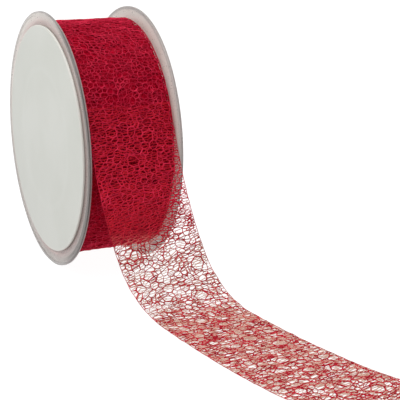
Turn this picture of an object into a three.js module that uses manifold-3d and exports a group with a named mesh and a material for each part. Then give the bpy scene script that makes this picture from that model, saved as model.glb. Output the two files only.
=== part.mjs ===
// A roll of open honeycomb net ribbon on a clear plastic reel. The reel stands on the rims of its
// two flanges. The ribbon's loose end leaves the front of the roll, drops and runs along the surface.
// Millimetres, +Z up. The reel's axis runs along X, and the loose end runs towards -Y.
import * as THREE from "three";
import { mergeVertices } from "three/addons/utils/BufferGeometryUtils.js";
import Module from "manifold-3d";

const wasm = await Module();
wasm.setup();

// Driving dimensions of the reel
const flangeRadius = 60;
const plateThickness = 0.8;
const rimThickness = 1.1;
const rimWidth = 2;
const rimRound = 0.35;
const flangeInnerFace = 20.7; // from the middle of the reel
const footDepth = 0.15; // how far the small flat foot is cut into each rim
const hubRadius = 33;
const hubRidgeWidth = 1.5;
const hubRidgeHeight = 0.25;
const discRadius = 53.1;
const discThickness = 0.8;
const discRound = 0.3;
const seatGap = 0.3; // between two pieces that lie against each other

// Driving dimensions of the ribbon
const ribbonWidth = 39.6;
const sheetThickness = 1;
const rollRadius = 55;
const rollEdgeRound = 0.8;
const rollUnevenness = 0.12; // how far its outside sinks between the places where the turns lie proud
const rollProudPlaces = 7;
const looseLength = 216;
const looseSpread = 2.6; // how much wider the net has been drawn at its free end
const spreadStart = 60;
const spreadLength = 150;

// How the loose end runs, from where it leaves the roll: the distance along it in millimetres, how far
// it leans forward from hanging straight down, and how far it turns to the side, both in degrees
const looseCourse = [
  { along: 0, lean: 21.5, turn: 0 },
  { along: 26, lean: 23, turn: 1.5 },
  { along: 52, lean: 18, turn: 9 },
  { along: 66, lean: 24, turn: 11.5 },
  { along: 79, lean: 48.5, turn: 12 },
  { along: 92, lean: 73, turn: 7.5 },
  { along: 106, lean: 90, turn: 4.5 },
  { along: 140, lean: 90, turn: 7.5 },
  { along: 175, lean: 90, turn: 13 },
  { along: 216, lean: 90, turn: 28.5 },
];

// Gaps in the net that are over 4 mm: their middles along and across the loose end, and their sizes.
// Each is a rounded shape with three shallow lobes.
const gapUnevenness = 0.08;
const largeGaps = [
  { along: 9, across: -10, wide: 5.2, long: 4.6 },
  { along: 12, across: 7, wide: 4.8, long: 5 },
  { along: 22, across: -2, wide: 5.4, long: 4.8 },
  { along: 27, across: 13, wide: 4.4, long: 5 },
  { along: 31, across: -12, wide: 5, long: 4.4 },
  { along: 38, across: 2, wide: 4.8, long: 5.2 },
  { along: 46, across: 13, wide: 4.2, long: 5 },
  { along: 50, across: -8, wide: 4.6, long: 4.4 },
  { along: 57, across: 0.5, wide: 5.6, long: 4.4 },
  { along: 61, across: -12.5, wide: 5, long: 4.4 },
  { along: 63, across: 10.5, wide: 4.6, long: 5.4 },
  { along: 71, across: -9.5, wide: 5, long: 4.4 },
  { along: 74, across: 14.5, wide: 6, long: 7.2 },
  { along: 84, across: -7, wide: 5.4, long: 4.2 },
  { along: 88, across: 8, wide: 6.8, long: 5.6 },
  { along: 98, across: 13, wide: 5, long: 4.4 },
  { along: 105, across: -3, wide: 5.4, long: 6.4 },
  { along: 113, across: 3, wide: 5, long: 4.6 },
  { along: 118, across: 12, wide: 4.8, long: 5.8 },
  { along: 119, across: -12, wide: 4.2, long: 5 },
  { along: 128, across: -11, wide: 4.8, long: 4.2 },
  { along: 129, across: 14, wide: 6, long: 5 },
  { along: 132, across: 3.5, wide: 6.4, long: 6 },
  { along: 135, across: -5, wide: 4.4, long: 4.2 },
  { along: 142, across: 10, wide: 6.4, long: 6 },
  { along: 151, across: -11, wide: 4.6, long: 4.4 },
  { along: 156, across: 0.5, wide: 6.4, long: 5.4 },
  { along: 163, across: -5.5, wide: 6.4, long: 5 },
  { along: 169, across: 3, wide: 5, long: 4.4 },
  { along: 174, across: 12, wide: 4.4, long: 5.2 },
  { along: 180, across: -11.5, wide: 4.8, long: 4.4 },
  { along: 185, across: 14.5, wide: 5.6, long: 5.6 },
  { along: 186, across: 3.5, wide: 5, long: 4.4 },
  { along: 192, across: -3.5, wide: 4.8, long: 4.8 },
  { along: 197, across: 8, wide: 6.8, long: 6.4 },
  { along: 206, across: -9, wide: 5.4, long: 5 },
];

// Values that follow from these
const axisHeight = flangeRadius - footDepth;
const leaveAngle = THREE.MathUtils.degToRad(looseCourse[0].lean);
const turnStep = sheetThickness + seatGap; // the roll is this much lower just under the loose end

// How finely round forms are divided
const flangeSides = 80;
const hubSides = 48;
const rollSides = 110;
const roundSteps = 2;
const courseStep = 3; // millimetres along the loose end
const gapSides = 10;
const weldDistance = 1e-4;

const clearPlastic = new THREE.MeshStandardMaterial({ color: 0xd6d0ca, roughness: 0.3, metalness: 0 });
const card = new THREE.MeshStandardMaterial({ color: 0xd7d8d0, roughness: 0.6, metalness: 0 });
const redNet = new THREE.MeshStandardMaterial({ color: 0xb0202e, roughness: 0.7, metalness: 0 });

// A closed geometry as a solid, with the corners that its faces share made one
function solidOf(geometry) {
  const bare = geometry.clone();
  bare.deleteAttribute("normal");
  bare.deleteAttribute("uv");
  const merged = mergeVertices(bare, weldDistance);
  const corners = merged.index.array;
  const kept = [];
  for (let i = 0; i < corners.length; i += 3) {
    const [a, b, c] = corners.slice(i, i + 3);
    if (a !== b && b !== c && c !== a) {
      kept.push(a, b, c);
    }
  }
  const vertProperties = merged.attributes.position.array;
  return new wasm.Manifold(new wasm.Mesh({ numProp: 3, vertProperties, triVerts: Uint32Array.from(kept) }));
}

function geometryOf(solid) {
  const mesh = solid.getMesh();
  const geometry = new THREE.BufferGeometry();
  geometry.setAttribute("position", new THREE.BufferAttribute(mesh.vertProperties, 3));
  geometry.setIndex(new THREE.BufferAttribute(mesh.triVerts, 1));
  geometry.computeVertexNormals();
  return geometry;
}

function piece(name, solid, material) {
  const mesh = new THREE.Mesh(geometryOf(solid), material);
  mesh.name = name;
  return mesh;
}

// A half-section turned round the reel's axis. Its x is the radius, and its y is the distance along +X.
function turned(section, sides) {
  const geometry = new THREE.LatheGeometry(section, sides);
  geometry.rotateZ(-Math.PI / 2);
  return geometry;
}

// The flanges: thin moulded discs, with a bead round the rim and the hub's ring on the outside
function flangeSection(withRidge) {
  const path = new THREE.Path();
  path.moveTo(0, 0);
  path.lineTo(flangeRadius - rimRound, 0);
  path.absarc(flangeRadius - rimRound, rimRound, rimRound, -Math.PI / 2, 0);
  path.absarc(flangeRadius - rimRound, rimThickness - rimRound, rimRound, 0, Math.PI / 2);
  path.lineTo(flangeRadius - rimWidth, rimThickness);
  path.lineTo(flangeRadius - rimWidth - rimRound, plateThickness);
  if (withRidge) {
    path.lineTo(hubRadius + hubRidgeHeight, plateThickness);
    path.lineTo(hubRadius, plateThickness + hubRidgeHeight);
    path.lineTo(hubRadius - hubRidgeWidth, plateThickness + hubRidgeHeight);
    path.lineTo(hubRadius - hubRidgeWidth - hubRidgeHeight, plateThickness);
  }
  path.lineTo(0, plateThickness);
  return path.getPoints(roundSteps);
}

function flange(name, side) {
  const geometry = turned(flangeSection(side > 0), flangeSides);
  geometry.translate(flangeInnerFace, 0, 0);
  if (side < 0) {
    geometry.rotateZ(Math.PI);
  }
  const ground = new THREE.BoxGeometry(4 * flangeRadius, flangeRadius, flangeRadius);
  ground.translate(0, 0, -axisHeight - flangeRadius / 2);
  return piece(name, solidOf(geometry).subtract(solidOf(ground)), clearPlastic);
}

// The hub: the drum that joins the flanges, and that the ribbon is wound on
function hub() {
  const halfLength = flangeInnerFace - seatGap;
  const section = [
    new THREE.Vector2(0, -halfLength),
    new THREE.Vector2(hubRadius, -halfLength),
    new THREE.Vector2(hubRadius, halfLength),
    new THREE.Vector2(0, halfLength),
  ];
  return piece("reel_hub", solidOf(turned(section, hubSides)), clearPlastic);
}

// The face disc: a blank card disc on the outside of the near flange, with a soft edge
function faceDisc() {
  const path = new THREE.Path();
  path.moveTo(0, 0);
  path.lineTo(discRadius, 0);
  path.absarc(discRadius - discRound, discThickness - discRound, discRound, 0, Math.PI / 2);
  path.lineTo(0, discThickness);
  const geometry = turned(path.getPoints(roundSteps), flangeSides);
  geometry.translate(flangeInnerFace + plateThickness + seatGap, 0, 0);
  geometry.rotateZ(Math.PI);
  return piece("face_disc", solidOf(geometry), card);
}

// The wound ribbon: one solid round the hub. Its outside is a step lower where the loose end has left
// it, and comes back to the full radius a quarter turn further down. The loose end starts just clear
// of the step.
function rollOutline() {
  const shape = new THREE.Shape();
  const start = Math.PI - leaveAngle - seatGap / rollRadius;
  const recovery = Math.PI / 2;
  for (let i = 0; i < rollSides; i += 1) {
    const past = (2 * Math.PI * i) / rollSides;
    const lowered = turnStep * (1 - THREE.MathUtils.smoothstep(past, 0, recovery));
    const sink = rollUnevenness * (1 - Math.cos(rollProudPlaces * past)) * Math.sin(past / 2);
    const radius = rollRadius - lowered - sink;
    const y = radius * Math.cos(start + past);
    const z = radius * Math.sin(start + past);
    if (i === 0) {
      shape.moveTo(y, z);
    } else {
      shape.lineTo(y, z);
    }
  }
  shape.lineTo(rollRadius * Math.cos(start), rollRadius * Math.sin(start));
  const bore = new THREE.Path();
  bore.absarc(0, 0, (hubRadius + seatGap) / Math.cos(Math.PI / hubSides), 0, 2 * Math.PI);
  shape.holes.push(bore);
  return shape;
}

function roll() {
  const geometry = new THREE.ExtrudeGeometry(rollOutline(), {
    depth: ribbonWidth - 2 * rollEdgeRound,
    curveSegments: hubSides / 2,
    bevelThickness: rollEdgeRound,
    bevelSize: rollEdgeRound,
    bevelOffset: -rollEdgeRound,
    bevelSegments: roundSteps,
  });
  geometry.translate(0, 0, rollEdgeRound - ribbonWidth / 2);
  const [x, y, z] = [new THREE.Vector3(1, 0, 0), new THREE.Vector3(0, 1, 0), new THREE.Vector3(0, 0, 1)];
  geometry.applyMatrix4(new THREE.Matrix4().makeBasis(y, z, x));
  return piece("ribbon_roll", solidOf(geometry), redNet);
}

// The loose end. Stations a millimetre apart give its middle, its direction across and its upper side.
function courseAt(along, column) {
  const next = Math.max(1, looseCourse.findIndex((row) => row.along >= along));
  const [a, b] = [looseCourse[next - 1], looseCourse[next]];
  const value = THREE.MathUtils.mapLinear(along, a.along, b.along, a[column], b[column]);
  return THREE.MathUtils.degToRad(value);
}

function directionAt(along) {
  const lean = courseAt(along, "lean");
  const turn = courseAt(along, "turn");
  const forward = Math.cos(turn);
  return new THREE.Vector3(Math.sin(turn), -Math.sin(lean) * forward, -Math.cos(lean) * forward);
}

function looseStations() {
  const middleRadius = rollRadius - sheetThickness / 2;
  const middle = new THREE.Vector3(
    0,
    -middleRadius * Math.cos(leaveAngle),
    axisHeight + middleRadius * Math.sin(leaveAngle),
  );
  const stations = [];
  for (let along = 0; along <= looseLength; along += 1) {
    const lean = courseAt(along, "lean");
    const outward = new THREE.Vector3(0, -Math.cos(lean), Math.sin(lean));
    const across = new THREE.Vector3().crossVectors(directionAt(along), outward).negate().normalize();
    const up = new THREE.Vector3().crossVectors(directionAt(along), across).normalize();
    stations.push({ middle: middle.clone(), across, up });
    middle.add(directionAt(Math.min(along + 0.5, looseLength)));
  }
  // The course is let down evenly, so that the end lies on the surface
  const landing = looseCourse.find((row) => row.lean === 90).along;
  const excess = stations[looseLength].middle.z - sheetThickness / 2;
  stations.forEach((station, along) => {
    station.middle.z -= excess * Math.min(1, along / landing);
  });
  return stations;
}

// Lays a flat geometry along the loose end: x is across it, y is back towards the roll, z is its height.
// No part of the sheet goes under the surface that it lies on.
function laid(geometry, stations) {
  const position = geometry.attributes.position;
  const place = new THREE.Vector3();
  for (let i = 0; i < position.count; i += 1) {
    const along = THREE.MathUtils.clamp(-position.getY(i), 0, looseLength);
    const lower = Math.min(Math.floor(along), looseLength - 1);
    const part = along - lower;
    const [a, b] = [stations[lower], stations[lower + 1]];
    const spread = THREE.MathUtils.smoothstep(along, spreadStart, spreadStart + spreadLength);
    const stretch = 1 + (looseSpread / ribbonWidth) * spread;
    place.lerpVectors(a.middle, b.middle, part);
    place.addScaledVector(a.across.clone().lerp(b.across, part), position.getX(i) * stretch);
    place.addScaledVector(a.up.clone().lerp(b.up, part), position.getZ(i));
    place.z = Math.max(place.z, position.getZ(i) + sheetThickness / 2);
    position.setXYZ(i, place.x, place.y, place.z);
  }
  return geometry;
}

function gapOutline(gap) {
  const corners = [];
  for (let i = 0; i < gapSides; i += 1) {
    const angle = (2 * Math.PI * i) / gapSides;
    const wobble = 1 + gapUnevenness * Math.sin(3 * angle + gap.along);
    const x = (gap.wide / 2) * wobble * Math.cos(angle);
    const y = (gap.long / 2) * wobble * Math.sin(angle);
    corners.push(new THREE.Vector2(x, y));
  }
  return new THREE.Shape(corners);
}

function looseEnd() {
  const stations = looseStations();
  const steps = Math.round(looseLength / courseStep);
  const flat = new THREE.BoxGeometry(ribbonWidth, looseLength, sheetThickness, 1, steps, 1);
  flat.translate(0, -looseLength / 2, 0);
  let solid = solidOf(laid(flat, stations));
  for (const gap of largeGaps) {
    const depth = 3 * sheetThickness;
    const plug = new THREE.ExtrudeGeometry(gapOutline(gap), { depth, bevelEnabled: false });
    plug.translate(gap.across, -gap.along, -depth / 2);
    solid = solid.subtract(solidOf(laid(plug, stations)));
  }
  return piece("ribbon_tail", solid, redNet);
}

// Putting it together
const reel = new THREE.Group();
reel.position.z = axisHeight;
reel.add(flange("near_flange", -1), flange("far_flange", 1), hub(), faceDisc(), roll());

const group = new THREE.Group();
group.name = "roll_of_honeycomb_ribbon";
group.add(reel, looseEnd());

// The origin is on the surface, under the middle of the whole
group.updateMatrixWorld(true);
const middle = new THREE.Box3().setFromObject(group).getCenter(new THREE.Vector3());
group.position.set(-middle.x, -middle.y, 0);

export default group;
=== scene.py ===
import math
import random

import bmesh
import bpy
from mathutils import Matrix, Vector, noise
from mathutils.geometry import delaunay_2d_cdt


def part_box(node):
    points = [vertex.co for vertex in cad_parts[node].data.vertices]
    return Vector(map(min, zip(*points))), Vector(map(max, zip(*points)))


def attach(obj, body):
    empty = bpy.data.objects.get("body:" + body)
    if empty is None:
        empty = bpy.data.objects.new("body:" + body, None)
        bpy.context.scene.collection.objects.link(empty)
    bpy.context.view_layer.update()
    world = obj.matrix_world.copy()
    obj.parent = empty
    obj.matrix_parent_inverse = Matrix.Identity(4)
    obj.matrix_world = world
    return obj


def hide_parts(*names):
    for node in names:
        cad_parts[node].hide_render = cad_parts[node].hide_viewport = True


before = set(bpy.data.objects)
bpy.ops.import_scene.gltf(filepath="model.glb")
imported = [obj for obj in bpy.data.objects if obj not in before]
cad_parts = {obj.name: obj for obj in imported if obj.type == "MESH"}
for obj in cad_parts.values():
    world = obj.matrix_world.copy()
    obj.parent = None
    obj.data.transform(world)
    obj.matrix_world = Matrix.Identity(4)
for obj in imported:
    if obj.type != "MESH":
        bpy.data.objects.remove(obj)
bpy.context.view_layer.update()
MM = 0.001

# The camera stands a little over half a metre from the reel, to the left of it and above it, and
# looks past it down the loose end, as in the photograph.
flange_radius = 60 * MM
reel_low, reel_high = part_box("near_flange")
reel_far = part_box("far_flange")[1]
reel = Vector(((reel_low.x + reel_far.x) / 2, (reel_low.y + reel_high.y) / 2, reel_high.z - flange_radius))
camera_from_reel = Vector((-177.5, -493.6, 106.1)) * MM
camera_azimuth = math.radians(-25.56)
camera_elevation = math.radians(14.85)
camera_sensor = 36
camera_lens = 99.87

lens = bpy.data.cameras.new("camera")
lens.sensor_width = camera_sensor
lens.lens = camera_lens
camera = bpy.data.objects.new("camera", lens)
camera.location = reel + camera_from_reel
camera.rotation_euler = (math.pi / 2 - camera_elevation, 0, camera_azimuth)
bpy.context.scene.collection.objects.link(camera)
bpy.context.scene.camera = camera


# The two flanges are thin moulded discs of clear plastic, faintly frosted. Each has a bead round its
# rim and a small flat spot that it stands on. The near one is a touch smaller, and the far one leans
# out a little at the top.
inner_face = 20.7 * MM
plate = 0.8 * MM
bead = 1.1 * MM
bead_width = 1.1 * MM
bead_slope = 0.5 * MM
flange_round = 0.12 * MM
hub_radius = 33 * MM
ridge_width = 1.5 * MM
ridge_height = 0.25 * MM
round_steps = 288
flange_kinds = [
    # name, side, radius of its rim, lean of its top
    ("near_flange", -1, 59.65 * MM, 0),
    ("far_flange", 1, flange_radius, 1.2 * MM),
]

# Where each ring of painted light and shade in the plastic's colour starts and ends, as distances from the
# reel's axis
painted_roll_ring = (53.5 * MM, 57.5 * MM)
painted_shade_ring = (56.5 * MM, 57.2 * MM)
painted_grey_ring = (58.3 * MM, 59.2 * MM)
painted_reflection_ring = (58.7 * MM, 59 * MM)


class Finish:
    """A socket of a material. Sums and products of these add Math nodes to the material."""

    def __init__(self, tree, socket):
        self.tree = tree
        self.socket = socket

    def add(self, kind, settings=None, sockets=None, output=0):
        """Adds a node: its type, then its settings, then the values or links of its sockets."""
        node = self.tree.nodes.new(kind)
        for name, value in (settings or {}).items():
            setattr(node, name, value)
        for name, value in (sockets or {}).items():
            if isinstance(value, Finish):
                self.tree.links.new(value.socket, node.inputs[name])
            else:
                node.inputs[name].default_value = value
        return Finish(self.tree, node.outputs[output]) if node.outputs else None

    def math(self, operation, a, b=0.0):
        return self.add("ShaderNodeMath", {"operation": operation}, {0: a, 1: b})

    def __add__(self, other):
        return self.math("ADD", self, other)

    def __radd__(self, other):
        return self.math("ADD", other, self)

    def __sub__(self, other):
        return self.math("SUBTRACT", self, other)

    def __rsub__(self, other):
        return self.math("SUBTRACT", other, self)

    def __mul__(self, other):
        return self.math("MULTIPLY", self, other)

    def __rmul__(self, other):
        return self.math("MULTIPLY", other, self)

    def __abs__(self):
        return self.math("ABSOLUTE", self)

    def sine(self):
        return self.math("SINE", self)

    def step(self, start, end):
        """0 up to start, 1 from end on, and smooth between them."""
        settings = {"interpolation_type": "SMOOTHSTEP"}
        return self.add("ShaderNodeMapRange", settings, {"Value": self, "From Min": start, "From Max": end})

    def mixed(self, low, high):
        """A colour from low to high, as this goes from 0 to 1."""
        low, high = [c if isinstance(c, Finish) else (*c, 1) for c in (low, high)]
        return self.add("ShaderNodeMix", {"data_type": "RGBA"}, {"Factor": self, 6: low, 7: high}, output=2)

    def noise(self, size, detail=2.0):
        """Noise at this place, with features of about this size."""
        return self.add("ShaderNodeTexNoise", None, {"Vector": self, "Scale": 1 / size, "Detail": detail})

    def vector(self, operation, other, output=0):
        return self.add("ShaderNodeVectorMath", {"operation": operation}, {0: self, 1: other}, output)

    def axis(self, name):
        """The X, Y or Z of this place."""
        return self.add("ShaderNodeSeparateXYZ", None, {0: self}, name)

    def surface(self, fixed, changing, relief=None, relief_depth=0.1 * MM):
        """Ends the material: the values that are the same all over, and those that change."""
        sockets = {**fixed, **changing}
        if relief:
            bump = {"Height": relief, "Strength": 1.0, "Distance": relief_depth}
            sockets["Normal"] = self.add("ShaderNodeBump", None, bump)
        shader = self.add("ShaderNodeBsdfPrincipled", None, sockets)
        self.add("ShaderNodeOutputMaterial", None, {"Surface": shader})


def new_material(name):
    """An empty material, and the place on the piece that its patterns read."""
    material = bpy.data.materials.new(name)
    material.use_nodes = True
    material.node_tree.nodes.clear()
    return material, Finish(material.node_tree, None).add("ShaderNodeTexCoord", output="Object")


def from_axis(place):
    """How far a place is from the reel's axis."""
    centred = place.vector("SUBTRACT", reel)
    return centred.vector("MULTIPLY", (0, 1, 1)).vector("LENGTH", (0, 0, 0), "Value")


def plastic_finish():
    """Clear plastic, with painted light: painted shade low down and painted light high up, the roll painted
    as if seen through it, and in the rim, where the light bends, a painted grey, a painted reflection of
    the roll and a painted dark line at the front.
    """
    # shaded and lit are painted shade and painted light; frosted is the plastic's own tint
    shaded, lit, frosted = (0.5, 0.45, 0.42), (0.84, 0.79, 0.74), (0.7, 0.66, 0.62)
    painted_roll_behind, painted_roll_reflection = (0.66, 0.3, 0.28), (0.6, 0.3, 0.33)
    grey, dark = (0.45, 0.43, 0.42), (0.1, 0.08, 0.07)
    material, place = new_material("clear plastic")
    radius = from_axis(place)
    from_middle = place.vector("SUBTRACT", reel)
    near_side = from_middle.axis("X") * -1
    front = (from_middle.axis("Y") * (-1 / flange_radius)).step(0.2, 0.6)
    high = (from_middle.axis("Z") * (1 / flange_radius)).step(-1, 1)
    cloud = place.noise(9 * MM, 3).step(0.35, 0.65)
    # Painted shade towards the bottom and painted light towards the top, under a faint frosted cloud
    colour = (cloud * 0.25).mixed(high.mixed(shaded, lit), frosted)

    # The red of the roll is painted into the plastic near it, as if seen through it, stronger on the inside
    # face
    inside = 1 - abs(near_side).step(inner_face, inner_face + 0.3 * MM)
    near_roll = (1 - radius.step(*painted_roll_ring)) * (0.25 + inside * 0.6)
    colour = near_roll.mixed(colour, painted_roll_behind)
    # A painted grey in the rim, where the light bends
    colour = (radius.step(*painted_grey_ring) * 0.8).mixed(colour, grey)

    # A painted reflection of the red roll on the inside of the near rim, at the front
    near_inside = (1 - near_side.step(inner_face, inner_face + 0.6 * MM)) * near_side.step(0, inner_face)
    colour = (radius.step(*painted_reflection_ring) * near_inside * front).mixed(colour, painted_roll_reflection)
    # A painted dark line of shade on the outside of the near rim, at the front
    near_outside = near_side.step(inner_face + 0.5 * MM, inner_face + 0.7 * MM)
    colour = (radius.step(*painted_shade_ring) * near_outside * front * 0.85).mixed(colour, dark)

    fixed = {"IOR": 1.45, "Transmission Weight": 0.65}
    changing = {"Base Color": colour, "Roughness": 0.22 + place.noise(0.7 * MM, 4) * 0.16}
    place.surface(fixed, changing, place.noise(2.5 * MM), 0.05 * MM)
    return material


def placed(name, shape):
    """Makes a piece of a finished shape, on the reel's body."""
    mesh = bpy.data.meshes.new(name)
    shape.to_mesh(mesh)
    shape.free()
    for face in mesh.polygons:
        face.use_smooth = True
    piece = bpy.data.objects.new(name, mesh)
    bpy.context.scene.collection.objects.link(piece)
    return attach(piece, "root")


def turned(section, corner_round, closed=False):
    """Turns a half-section, (along the axis, radius), round the reel's axis, with its corners rounded."""
    shape = bmesh.new()
    corners = [shape.verts.new((out, 0, radius)) for out, radius in section]
    for pair in zip(corners, corners[1:] + corners[:1] if closed else corners[1:]):
        shape.edges.new(pair)
    rounded = corners if closed else corners[1:-1]
    bmesh.ops.bevel(shape, geom=rounded, offset=corner_round, offset_type="OFFSET", segments=3,
                    profile=0.5, affect="VERTICES", material=-1)
    bmesh.ops.spin(shape, geom=shape.verts[:] + shape.edges[:], cent=(0, 0, 0), axis=(1, 0, 0),
                   angle=2 * math.pi, steps=round_steps, use_merge=True)
    bmesh.ops.remove_doubles(shape, verts=shape.verts[:], dist=0.005 * MM)
    bmesh.ops.translate(shape, verts=shape.verts[:], vec=reel)
    bmesh.ops.recalc_face_normals(shape, faces=shape.faces[:])
    return shape


def cut_away(shape, point, direction):
    """Cuts off what lies beyond a plane, and closes the cut with a flat face."""
    everything = shape.verts[:] + shape.edges[:] + shape.faces[:]
    cut = bmesh.ops.bisect_plane(shape, geom=everything, plane_co=point, plane_no=direction,
                                 clear_outer=True)["geom_cut"]
    edges = [part for part in cut if isinstance(part, bmesh.types.BMEdge)]
    bmesh.ops.holes_fill(shape, edges=edges, sides=0)
    for edge in edges:
        edge.smooth = False


clear_plastic = plastic_finish()
for name, side, rim, lean in flange_kinds:
    outside = [
        (plate, rim - bead_width - bead_slope),
        (bead, rim - bead_width),
        (bead, rim),
        (0, rim),
        (0, 0),
    ]
    if name == "far_flange":
        outside = [
            (plate, hub_radius - ridge_width - ridge_height),
            (plate + ridge_height, hub_radius - ridge_width),
            (plate + ridge_height, hub_radius),
            (plate, hub_radius + ridge_height),
        ] + outside
    section = [(side * (inner_face + out), radius) for out, radius in [(plate, 0)] + outside]
    moulding = turned(section, flange_round)
    for corner in moulding.verts:
        rise = max(0, corner.co.z - reel.z) / flange_radius
        corner.co += Vector((lean * rise * rise, 0, rim - flange_radius))
    cut_away(moulding, (0, 0, 0), (0, 0, -1))
    flange = placed("moulded_" + name, moulding)
    flange.data.materials.append(clear_plastic)
    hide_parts(name)


# The hub joins the flanges inside the ribbon. It is of the same clear plastic, and keeps the shape of
# its solid.
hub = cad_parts["reel_hub"]
hub.data.materials.clear()
hub.data.materials.append(clear_plastic)


# The face disc is a blank disc of pale card on the outside of the near flange. Its edge is slightly
# rounded, with a painted highlight on it, and the hub behind it shows as a faint ring.
disc_radius = 53.1 * MM
disc_round = 0.3 * MM
disc_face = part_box("face_disc")[0].x - reel.x
ring_spread = 3 * MM
edge_highlight_ring = (disc_radius - 1.6 * MM, disc_radius - 0.3 * MM)


def card_finish():
    """Pale card with a fine grain, a little lighter over the hub, and with a painted highlight at its edge.
    """
    card_low, card_high = (0.542, 0.552, 0.51), (0.573, 0.58, 0.542)
    over_hub, edge_highlight = (0.6, 0.61, 0.575), (0.64, 0.62, 0.57)
    material, place = new_material("pale card")
    radius = from_axis(place)
    ring = radius.step(hub_radius - ring_spread, hub_radius)
    ring = ring * (1 - radius.step(hub_radius, hub_radius + ring_spread))
    colour = place.noise(30 * MM).step(0.3, 0.7).mixed(card_low, card_high)
    colour = (ring * 0.2).mixed(colour, over_hub)
    # A painted highlight on the rounded edge
    colour = (radius.step(*edge_highlight_ring) * 0.3).mixed(colour, edge_highlight)
    relief = place.noise(0.25 * MM, 4) * 0.25 + ring * 0.6
    place.surface({"Roughness": 0.55}, {"Base Color": colour}, relief, 0.05 * MM)
    return material


card = turned([
    (-inner_face - plate, 0),
    (-inner_face - plate, disc_radius),
    (disc_face, disc_radius),
    (disc_face, 0),
], disc_round)
disc = placed("card_disc", card)
disc.data.materials.append(card_finish())
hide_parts("face_disc")


# The wound turns deep in the roll are too close to see one by one. They are one soft drum of net, a
# little uneven, with the edges of the turns as fine rings on its two sides and painted shade between them.
ribbon_width = 39.6 * MM
turn_radius = 54.75 * MM
turn_pitch = 0.42 * MM
open_turns = 3
drum_radius = turn_radius - (open_turns - 0.35) * turn_pitch
drum_half_width = ribbon_width / 2 - 0.3 * MM
drum_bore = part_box("reel_hub")[1].z - reel.z + 0.3 * MM
drum_round = 0.1 * MM
drum_steps = 44
drum_sag = 0.25 * MM
sag_size = 6 * MM
sag_depth = 1 * MM
web_cell = 2.3 * MM
end_fade = 5 * MM


def deep_net_finish():
    """Dark red net in layers, darkened further by painted shade deep in the roll. A web shows on its round
    face, and the turns as rings on its sides, with painted shade between them.
    """
    shaded_deep_low, shaded_deep_high = (0.28, 0, 0.01), (0.39, 0, 0.018)
    web_red, end_red, shade_between_turns = (0.36, 0.002, 0.014), (0.5, 0.003, 0.012), (0.1, 0.001, 0.004)
    material, place = new_material("deep net")
    from_middle = abs(place.vector("SUBTRACT", reel).axis("X"))
    at_end = from_middle.step(ribbon_width / 2 - end_fade, ribbon_width / 2)
    on_side = from_middle.step(drum_half_width - 0.15 * MM, drum_half_width - 0.03 * MM)
    size = {"Vector": place, "Scale": 1 / web_cell}
    web = place.add("ShaderNodeTexVoronoi", {"feature": "DISTANCE_TO_EDGE"}, size, "Distance")
    web = (1 - web.step(0.02, 0.2)) * (1 - on_side)
    rings = (from_axis(place) * (2 * math.pi / turn_pitch)).sine() * 0.5 + 0.5
    # Painted shade: the deep net is darker than the open turns
    colour = place.noise(7 * MM, 3).step(0.3, 0.7).mixed(shaded_deep_low, shaded_deep_high)
    colour = (web * 0.5).mixed(colour, web_red)
    colour = (at_end * 0.5).mixed(colour, end_red)
    # Painted shade in the gaps between the turns on the sides
    colour = (rings * on_side * 0.7).mixed(colour, shade_between_turns)
    fixed = {"Roughness": 0.5, "Specular IOR Level": 0.03}
    place.surface(fixed, {"Base Color": colour}, web + rings * on_side, 0.2 * MM)
    return material


across_steps = [drum_half_width * (2 * step / drum_steps - 1) for step in range(drum_steps + 1)]
drum = turned([(-drum_half_width, drum_bore)] + [(across, drum_radius) for across in across_steps]
              + [(drum_half_width, drum_bore)], drum_round, closed=True)
for corner in drum.verts:
    out = (corner.co - reel) * Vector((0, 1, 1))
    if out.length > drum_radius - sag_depth:
        corner.co += out.normalized() * drum_sag * noise.noise(corner.co / sag_size)
wound_drum = placed("wound_drum", drum)
wound_drum.data.materials.append(deep_net_finish())
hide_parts("ribbon_roll")


# The outer turns of the roll are open net, one over the other. The net is red strands that lie at
# random and stick together where they meet, and the loose end shows finer fibres between them. It is
# made flat, with x across the ribbon and y along it, cut to width, and then laid on its course.
strand = 0.84 * MM
fibre = 0.66 * MM
cell_low = 1.4 * MM
cell_high = 3.5 * MM
fibre_cell = 1.8 * MM
fibre_stretch = 3
knot_reach = 0.6 * MM
net_margin = 6 * MM
crowding = 12
leave_lean = math.radians(21.5)

# How far the knots drift, over which distance, and how far the finished net is from flat
drift = 0.9 * MM
drift_size = 6 * MM
drift_seed = 11
wave, wave_size = 0.2 * MM, 5 * MM
ripple, ripple_size = 0.12 * MM, 1.5 * MM
sway, sway_size = 0.2 * MM, 4 * MM

# The share of the cells with a strand across them, and how far from straight it may be
crossed_share = 0.6
cross_slant = 0.4

# How thick the strands are, as shares of the full thickness
roll_heft = 0.17
loose_heft = 0.47
flat_extra = 0.16
patch_extra, patch_size = 0.6, 5 * MM
strand_extra = 0.35
knot_extra, knot_share = 0.4, 0.12
edge_heft = 0.1
least_heft = 0.3
hanging = 60 * MM

# Distances from a large gap's middle, where 1 is its rim. No cell starts within gap_hold, the strands
# that stood at gap_rim are pushed out to the rim, and those beyond gap_reach stay where they are.
gap_hold = 0.85
gap_rim = 0.62
gap_reach = 2.4
gap_open = 0.6
gap_thick = (0.9, 1.3)

noise.seed_set(drift_seed)


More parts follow.
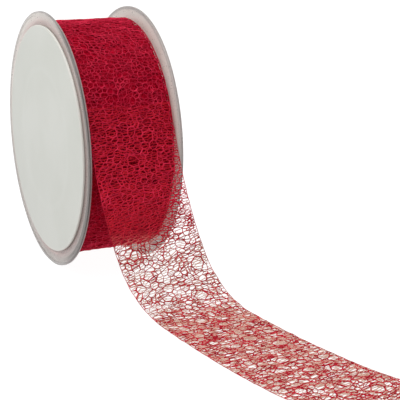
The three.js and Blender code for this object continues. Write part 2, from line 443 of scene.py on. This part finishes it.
def net_finish():
    """Red strands, with painted shade in the deeper turns and a painted sheen on the outermost, which
    catches the light.
    """
    loose_low, loose_high = (0.28, 0.009, 0.017), (0.44, 0.014, 0.032)
    shaded_deep_low, shaded_deep_high = (0.37, 0, 0.012), (0.45, 0.001, 0.018)
    sheen_outer_low, sheen_outer_high = (0.4, 0.009, 0.033), (0.52, 0.019, 0.052)
    material, place = new_material("red net")
    radius = from_axis(place)
    cloud = place.noise(5 * MM, 3).step(0.3, 0.7)
    # Painted shade in the deeper turns and a painted sheen on the outermost turn
    outermost = radius.step(turn_radius - 2 * turn_pitch, turn_radius - 0.2 * turn_pitch)
    colour = outermost.mixed(cloud.mixed(shaded_deep_low, shaded_deep_high), cloud.mixed(sheen_outer_low, sheen_outer_high))
    away = radius.step(turn_radius + 12 * MM, turn_radius + 20 * MM)
    colour = away.mixed(colour, cloud.mixed(loose_low, loose_high))
    fixed = {"Roughness": 0.5, "Specular IOR Level": 0.03}
    place.surface(fixed, {"Base Color": colour}, place.noise(0.4 * MM), 0.04 * MM)
    return material


def fibre_finish():
    """Fine fibres, red near the roll. Away from it they look pale and not red, a colour that is painted
    shade of the floor under the net, seen through its holes.
    """
    near_roll, fibre_shade_low, fibre_shade_high = (0.46, 0.006, 0.02), (0.48, 0.27, 0.21), (0.6, 0.38, 0.31)
    material, place = new_material("fine fibre")
    away = from_axis(place).step(turn_radius + 20 * MM, turn_radius + 30 * MM)
    # Painted shade: the pale fibres tint the holes like the shaded floor under the net
    pale = place.noise(4 * MM, 3).step(0.3, 0.7).mixed(fibre_shade_low, fibre_shade_high)
    fixed = {"Roughness": 0.6, "Specular IOR Level": 0.1}
    place.surface(fixed, {"Base Color": away.mixed(near_roll, pale)})
    return material


def gap_distance(spot, gap):
    """How far a place is from a gap's middle, where 1 is the gap's rim."""
    along, across, wide, long = [size * MM for size in gap]
    return math.hypot((spot.x - across) * 2 / wide, (spot.y - along) * 2 / long)


def scattered(chance, start, end, low, high, gaps=()):
    """Places over the flat net, at random but apart, with one in the middle of each large gap."""
    places = [Vector((across * MM, along * MM)) for along, across, wide, long in gaps]
    near = {}
    half = ribbon_width / 2 + net_margin
    start -= net_margin
    end += net_margin
    around = [(i, j) for i in (-1, 0, 1) for j in (-1, 0, 1)]
    for _ in range(int(crowding * 2 * half * (end - start) / (low * high))):
        spot = Vector((chance.uniform(-half, half), chance.uniform(start, end)))
        room = chance.uniform(low, high)
        if any(gap_distance(spot, gap) < gap_hold for gap in gaps):
            continue
        column, row = int(spot.x // high), int(spot.y // high)
        others = [other for i, j in around for other in near.get((column + i, row + j), ())]
        if all((spot - other).length > (room + other_room) / 2 for other, other_room in others):
            places.append(spot)
            near.setdefault((column, row), []).append((spot, room))
    return places


def dual_nodes():
    """Geometry nodes that turn triangles between places into cells round the places."""
    tree = bpy.data.node_groups.new("cells round places", "GeometryNodeTree")
    tree.interface.new_socket("Geometry", in_out="INPUT", socket_type="NodeSocketGeometry")
    tree.interface.new_socket("Geometry", in_out="OUTPUT", socket_type="NodeSocketGeometry")
    steps = [tree.nodes.new(kind) for kind in ("NodeGroupInput", "GeometryNodeDualMesh", "NodeGroupOutput")]
    for before, after in zip(steps, steps[1:]):
        tree.links.new(before.outputs[0], after.inputs[0])
    return tree


def applied(shape, prepare):
    """The mesh of a shape with the modifiers that prepare gives its object."""
    mesh = bpy.data.meshes.new("flat net")
    shape.to_mesh(mesh)
    shape.free()
    holder = bpy.data.objects.new("flat net", mesh)
    bpy.context.scene.collection.objects.link(holder)
    prepare(holder)
    depsgraph = bpy.context.evaluated_depsgraph_get()
    result = bpy.data.meshes.new_from_object(holder.evaluated_get(depsgraph))
    bpy.data.objects.remove(holder)
    return result


cells_round_places = dual_nodes()


def cells(places, stretch=1):
    """A flat net with one cell round each place, pressed together along the ribbon by the stretch."""
    corners, _, triangles, *_ = delaunay_2d_cdt(places, [], [], 0, 1e-9)
    flat = bmesh.new()
    points = [flat.verts.new((corner.x, corner.y / stretch, 0)) for corner in corners]
    for triangle in triangles:
        flat.faces.new([points[i] for i in triangle])

    def prepare(holder):
        holder.modifiers.new("dual", "NODES").node_group = cells_round_places

    net = bmesh.new()
    net.from_mesh(applied(flat, prepare))
    return net


def drifted(net):
    """Presses the cells together in some places and draws them out in others."""
    for knot in net.verts:
        pull = noise.noise_vector(knot.co / drift_size)
        knot.co += Vector((pull.x, pull.y, 0)) * drift


def opened(net, gaps):
    """Pushes the knots away from the large gaps, so that the strands crowd round them."""
    gain = (1 - gap_rim) / (1 - gap_rim / gap_reach) ** 2
    for knot in net.verts:
        for gap in gaps:
            near = gap_distance(knot.co, gap)
            if near < gap_reach:
                middle = Vector((gap[1] * MM, gap[0] * MM, 0))
                grown = near + gain * (1 - near / gap_reach) ** 2
                knot.co = middle + (knot.co - middle) * (grown / near)


def crossed(net, chance, gaps):
    """Lays straight strands over some of the cells, from one knot to another and mostly across."""
    for cell in net.faces[:]:
        knots = cell.verts[:]
        middle = cell.calc_center_median()
        open_cell = any(gap_distance(middle, gap) < gap_open for gap in gaps)
        if len(knots) < 4 or open_cell or chance.random() > crossed_share:
            continue
        pairs = [(knot, knots[place - len(knots) // 2]) for place, knot in enumerate(knots)]
        slopes = []
        for one, other in pairs:
            slopes.append(abs((one.co - other.co).normalized().y) + chance.uniform(0, cross_slant))
        bmesh.utils.face_split(cell, *pairs[slopes.index(min(slopes))])


def sides_cut(net):
    """Cuts the flat net to the ribbon's width."""
    for side in (-1, 1):
        everything = net.verts[:] + net.edges[:] + net.faces[:]
        edge = (side * ribbon_width / 2, 0, 0)
        bmesh.ops.bisect_plane(net, geom=everything, plane_co=edge, plane_no=(side, 0, 0), clear_outer=True)


def strands(net, chance, thickness, uneven, extra, gaps=()):
    """Turns the edges of a flat net into strands, with extra thickness where it lies on the surface."""

    def heft(knot):
        """How thick the strands are at this knot, more so at a few knots and round the large gaps."""
        share = roll_heft if knot.y < 0 else loose_heft
        share += extra * min(1, max(0, (knot.y - hanging) / hanging))
        share += patch_extra * noise.noise(knot / patch_size)
        share += uneven * chance.uniform(-strand_extra, strand_extra)
        by_gap = any(gap_thick[0] < gap_distance(knot, gap) < gap_thick[1] for gap in gaps)
        if chance.random() < knot_share * uneven or by_gap:
            share += knot_extra
        if abs(knot.x) > ribbon_width / 2 - 0.01 * MM:
            share = edge_heft
        return min(1, max(0, share))

    def prepare(holder):
        group = holder.vertex_groups.new(name="heft")
        for knot in holder.data.vertices:
            group.add([knot.index], heft(knot.co), "REPLACE")
        wire = holder.modifiers.new("strands", "WIREFRAME")
        wire.thickness = thickness
        wire.thickness_vertex_group = least_heft
        wire.vertex_group = "heft"
        wire.use_boundary = True
        wire.use_even_offset = False
        wire.offset = 0

    return applied(net, prepare)


def flat_net(seed, start, end, gaps=()):
    """A flat net from start to end. The loose part, with the large gaps, has fine fibres in it too."""
    chance = random.Random(seed)
    coarse = cells(scattered(chance, start, end, cell_low, cell_high, gaps))
    bmesh.ops.remove_doubles(coarse, verts=coarse.verts[:], dist=knot_reach)
    drifted(coarse)
    opened(coarse, gaps)
    crossed(coarse, chance, gaps)
    sides_cut(coarse)
    net = bmesh.new()
    net.from_mesh(strands(coarse, chance, strand, 1.0, flat_extra, gaps))
    if gaps:
        places = scattered(chance, 0, end * fibre_stretch, fibre_cell, 2 * fibre_cell)
        thin = cells(places, fibre_stretch)
        drifted(thin)
        sides_cut(thin)
        strong = len(net.faces)
        net.from_mesh(strands(thin, chance, fibre, 0.4, 0))
        net.faces.ensure_lookup_table()
        for face in net.faces[strong:]:
            face.material_index = 1
    for corner in net.verts:
        flat = Vector((corner.co.x, corner.co.y, 0))
        corner.co.z += wave * noise.noise(flat / wave_size) + ripple * noise.noise(flat / ripple_size)
        corner.co.x += sway * noise.noise(flat / sway_size)
    cut_away(net, (0, start, 0), (0, -1, 0))
    cut_away(net, (0, end, 0), (0, 1, 0))
    return net


def on_roll(flat):
    """Where a place of the flat net lies on the roll. Along is below 0 until the net leaves."""
    turns = -flat.y / (2 * math.pi * turn_radius)
    radius = turn_radius - turns * turn_pitch + flat.z
    angle = math.pi - leave_lean - turns * 2 * math.pi
    return reel + Vector((flat.x, radius * math.cos(angle), radius * math.sin(angle)))


net_materials = (net_finish(), fibre_finish())
turn_length = 2 * math.pi * turn_radius
overlap = 14 * MM


def laid_turn(number, net):
    """Lays a length of flat net on the roll as the turn of that number, counted from outside."""
    for corner in net.verts:
        corner.co = on_roll(corner.co)
    turn = placed(f"wound_turn_{number}", net)
    turn.data.materials.append(net_materials[0])


for number in range(2, open_turns + 1):
    turn_end = -overlap - (number - 1) * turn_length
    laid_turn(number, flat_net(20 + number, turn_end - turn_length, turn_end))


# The outermost turn goes on as the loose end, so both are cut from one net. The loose end leaves the
# front of the roll, drops, turns to the side and lies flat. Its course and its large gaps are those
# of its solid, in millimetres and degrees, and it widens a little as it goes.
loose_length = 216
loose_thickness = 1 * MM
leave_radius = 54.5 * MM
landing = 106
spread = 2.6 / 39.6
spread_along = (60, 210)
lift_leaving, lift_lying, lift_along = 0.25 * MM, -0.2 * MM, (0, 100)
surface_clear = 0.02 * MM
outer_seed = 7
loose_course = [
    # along, lean, turn
    (0, 21.5, 0),
    (26, 23, 1.5),
    (52, 18, 9),
    (66, 24, 11.5),
    (79, 48.5, 12),
    (92, 73, 7.5),
    (landing, 90, 4.5),
    (140, 90, 7.5),
    (175, 90, 13),
    (loose_length, 90, 28.5),
]
large_gaps = [
    # along, across, wide, long
    (9, -10, 5.2, 4.6),
    (12, 7, 4.8, 5),
    (22, -2, 5.4, 4.8),
    (27, 13, 4.4, 5),
    (31, -12, 5, 4.4),
    (38, 2, 4.8, 5.2),
    (46, 13, 4.2, 5),
    (50, -8, 4.6, 4.4),
    (57, 0.5, 5.6, 4.4),
    (61, -12.5, 5, 4.4),
    (63, 10.5, 4.6, 5.4),
    (71, -9.5, 5, 4.4),
    (74, 14.5, 6, 7.2),
    (84, -7, 5.4, 4.2),
    (88, 8, 6.8, 5.6),
    (98, 13, 5, 4.4),
    (105, -3, 5.4, 6.4),
    (113, 3, 5, 4.6),
    (118, 12, 4.8, 5.8),
    (119, -12, 4.2, 5),
    (128, -11, 4.8, 4.2),
    (129, 14, 6, 5),
    (132, 3.5, 6.4, 6),
    (135, -5, 4.4, 4.2),
    (142, 10, 6.4, 6),
    (151, -11, 4.6, 4.4),
    (156, 0.5, 6.4, 5.4),
    (163, -5.5, 6.4, 5),
    (169, 3, 5, 4.4),
    (174, 12, 4.4, 5.2),
    (180, -11.5, 4.8, 4.4),
    (185, 14.5, 5.6, 5.6),
    (186, 3.5, 5, 4.4),
    (192, -3.5, 4.8, 4.8),
    (197, 8, 6.8, 6.4),
    (206, -9, 5.4, 5),
]


def course_at(along, column):
    """The lean or the turn of the course, in radians."""
    after = next((row for row in loose_course[1:] if row[0] >= along), loose_course[-1])
    before = loose_course[loose_course.index(after) - 1]
    share = (along - before[0]) / (after[0] - before[0])
    return math.radians(before[column] + share * (after[column] - before[column]))


def direction_at(along):
    """Which way the loose end runs."""
    lean, turn = course_at(along, 1), course_at(along, 2)
    return Vector((math.sin(turn), -math.sin(lean) * math.cos(turn), -math.cos(lean) * math.cos(turn)))


def stations():
    """The middle of the loose end, its direction across and its upper side, at every millimetre."""
    middle = reel + Vector((0, -leave_radius * math.cos(leave_lean), leave_radius * math.sin(leave_lean)))
    found = []
    for along in range(loose_length + 1):
        lean = course_at(along, 1)
        outward = Vector((0, -math.cos(lean), math.sin(lean)))
        across = -direction_at(along).cross(outward).normalized()
        found.append([middle, across, direction_at(along).cross(across).normalized()])
        middle = middle + direction_at(min(along + 0.5, loose_length)) * MM
    excess = found[-1][0].z - loose_thickness / 2
    for along, station in enumerate(found):
        station[0] = station[0] - Vector((0, 0, excess * min(1, along / landing)))
    return found


course = stations()


def eased(value, start, end):
    """0 up to start, 1 from end on, and smooth between them."""
    share = min(1, max(0, (value - start) / (end - start)))
    return share * share * (3 - 2 * share)


def on_course(flat):
    """Where a place of the flat net lies on the loose end's course."""
    if flat.y < 0:
        return on_roll(flat)
    along = flat.y / MM
    lower = min(int(along), loose_length - 1)
    share = along - lower
    nearest = zip(course[lower], course[lower + 1])
    middle, across, up = [before.lerp(after, share) for before, after in nearest]
    width = 1 + spread * eased(along, *spread_along)
    lift = lift_leaving + (lift_lying - lift_leaving) * eased(along, *lift_along)
    place = middle + across * flat.x * width + up * (flat.z + lift)
    place.z = max(place.z, surface_clear)
    return place


outer_net = flat_net(outer_seed, -overlap - turn_length, loose_length * MM, large_gaps)
net = outer_net.copy()
cut_away(outer_net, (0, -overlap, 0), (0, 1, 0))
laid_turn(1, outer_net)
cut_away(net, (0, -overlap, 0), (0, -1, 0))
for corner in net.verts:
    corner.co = on_course(corner.co)
loose_end = placed("loose_end", net)
for material in net_materials:
    loose_end.data.materials.append(material)
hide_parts("ribbon_tail")


# The floor is plain and pale, and glows, so that it shows no shadows. The light is soft and comes from
# all round, with one large lamp above.
floor_size = 8
floor_drop = 0.1 * MM
key_from_reel = Vector((-0.38, -0.25, 1.65))
key_size = 1.6
key_power = 34
sky_power = 0.6

floor_shape = bmesh.new()
bmesh.ops.create_grid(floor_shape, x_segments=1, y_segments=1, size=floor_size)
bmesh.ops.translate(floor_shape, verts=floor_shape.verts[:], vec=(0, 0, -floor_drop))
floor_mesh = bpy.data.meshes.new("floor")
floor_shape.to_mesh(floor_mesh)
floor_shape.free()
floor = bpy.data.objects.new("floor", floor_mesh)
bpy.context.scene.collection.objects.link(floor)
floor_finish, floor_place = new_material("pale floor")
floor_place.surface({
    "Base Color": (0.12, 0.12, 0.12, 1),
    "Roughness": 0.9,
    "Specular IOR Level": 0.1,
    "Emission Color": (1, 1, 1, 1),
    "Emission Strength": 0.97,
}, {})
floor_mesh.materials.append(floor_finish)

key = bpy.data.lights.new("key", "AREA")
key.size = key_size
key.energy = key_power
key_light = bpy.data.objects.new("key", key)
key_light.location = reel + key_from_reel
key_light.rotation_euler = (-key_from_reel).to_track_quat("-Z", "Y").to_euler()
bpy.context.scene.collection.objects.link(key_light)

world = bpy.data.worlds.new("studio")
world.use_nodes = True
world.node_tree.nodes["Background"].inputs["Color"].default_value = (1, 1, 1, 1)
world.node_tree.nodes["Background"].inputs["Strength"].default_value = sky_power
bpy.context.scene.world = world
bpy.context.scene.view_settings.view_transform = "Standard"
